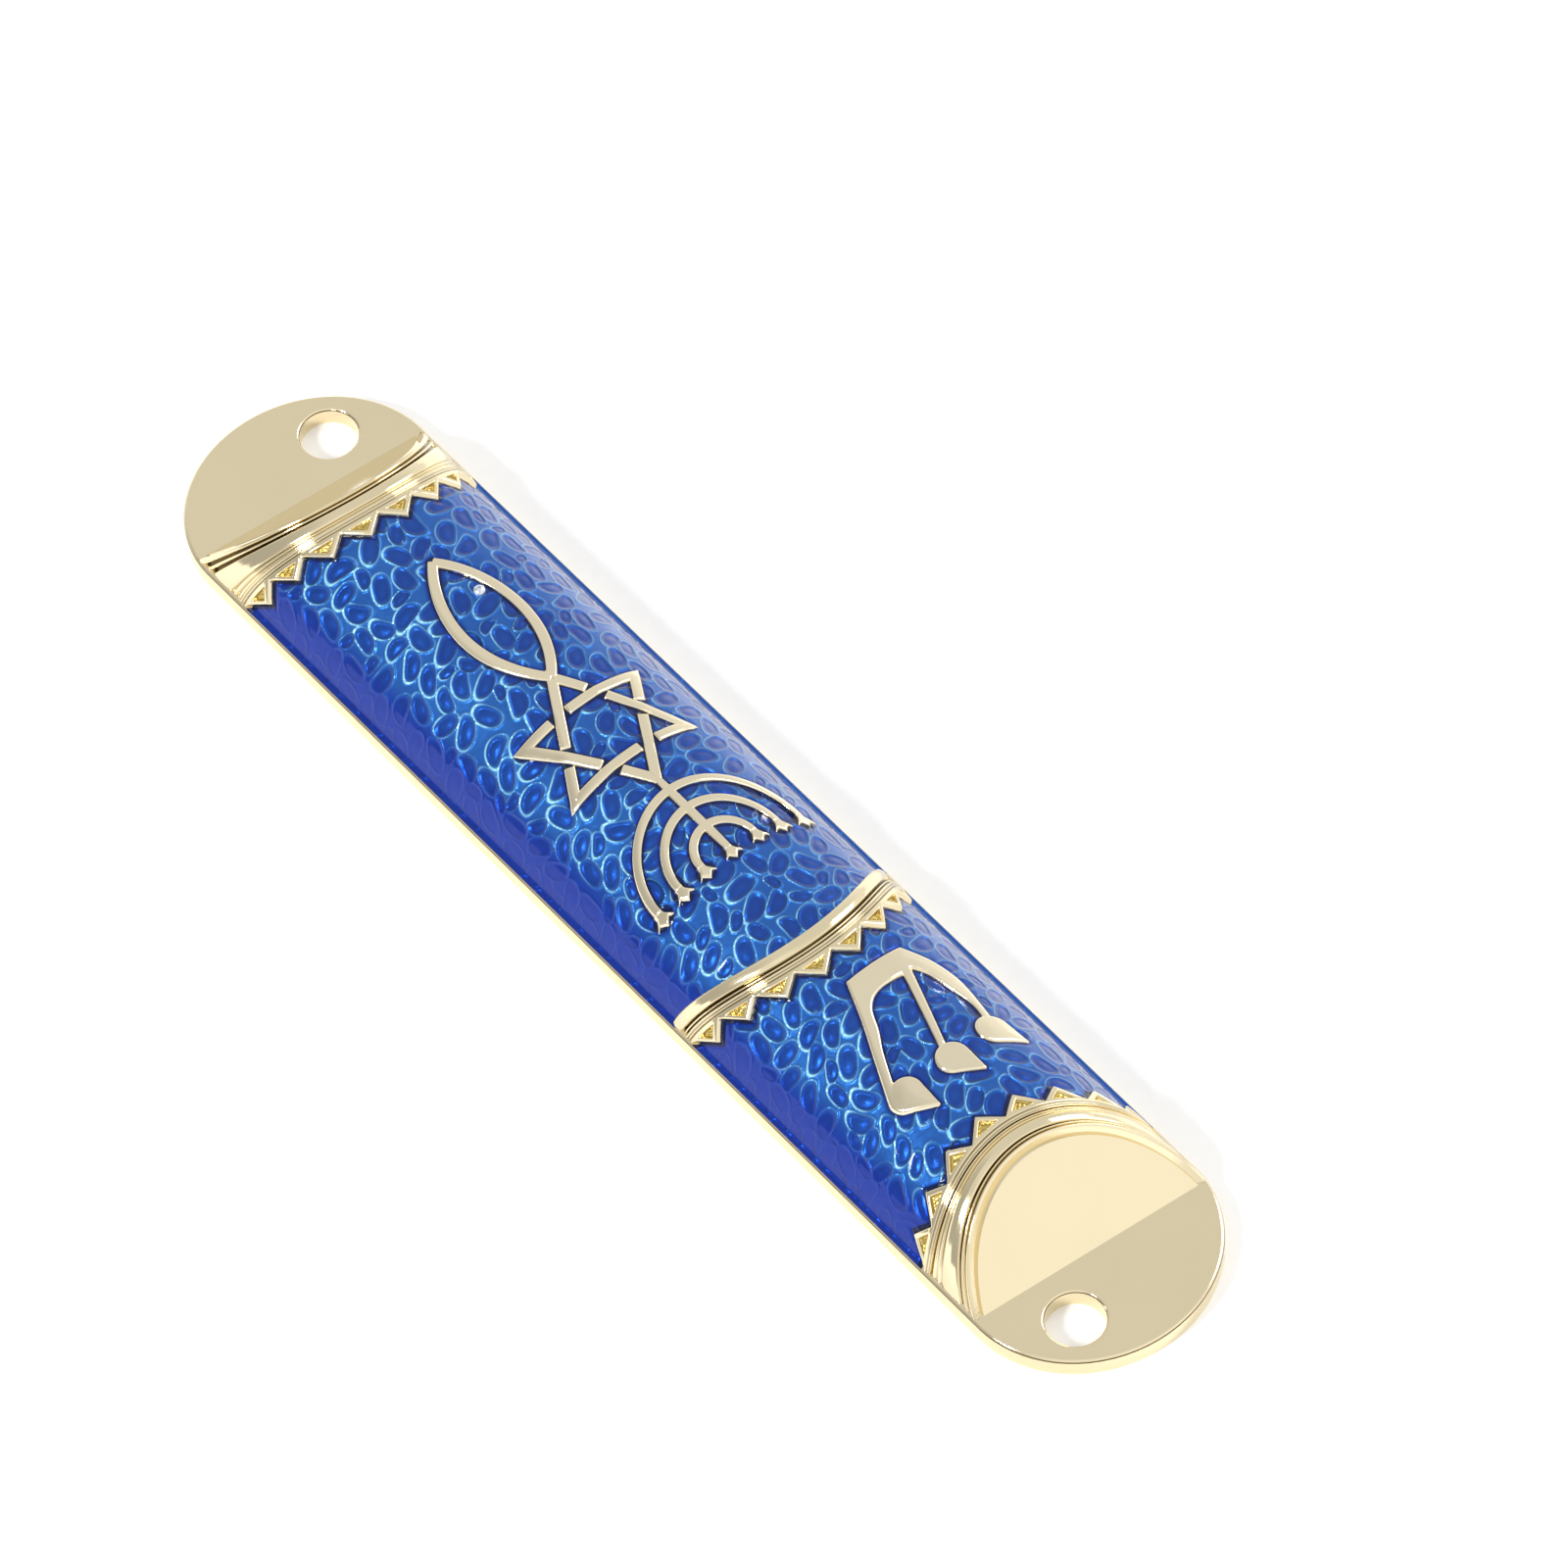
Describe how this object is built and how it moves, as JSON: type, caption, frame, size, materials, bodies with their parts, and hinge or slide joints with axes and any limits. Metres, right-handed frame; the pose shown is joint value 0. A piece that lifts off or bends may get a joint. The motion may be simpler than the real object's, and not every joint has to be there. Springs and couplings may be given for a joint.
{
  "type": "mezuzah case",
  "caption": "Half-round plated case on a flat back plate with two screw tabs, enamelled fields, raised emblem and a sliding back cover over a scroll chamber.",
  "frame": {"origin": "middle of the flat back face", "axes": "+Z out of the back plate, +Y along the case towards its upper end, +X across it"},
  "size_m": [0.024, 0.126, 0.0105],
  "materials": {
    "plated_case": "polished pale gold plating on a zinc casting",
    "plated_cover": "satin pale gold plating",
    "plated_trim": "bright pale gold plating with darker hollows",
    "plated_relief": "bright pale gold plating, rounded lines",
    "blue_enamel": "glossy translucent blue enamel over a hammered ground",
    "eye_stone": "small silvery stone"
  },
  "bodies": {
    "case": {"case_body": "plated_case", "enamel_long": "blue_enamel", "enamel_short": "blue_enamel", "upper_collar": "plated_trim", "upper_teeth": "plated_trim", "lower_collar": "plated_trim", "lower_teeth": "plated_trim", "middle_bead": "plated_trim", "middle_band": "plated_trim", "middle_teeth": "plated_trim", "fish": "plated_relief", "fish_eye": "eye_stone", "star": "plated_relief", "lamp_branches": "plated_relief", "lamp_cups": "plated_relief", "shin": "plated_relief"},
    "cover": {"back_cover": "plated_cover"}
  },
  "joints": [
    {"name": "cover_slide", "type": "slide", "parent": "case", "child": "cover", "axis": [0, -1, 0], "range_m": [0, 0.005]}
  ]
}
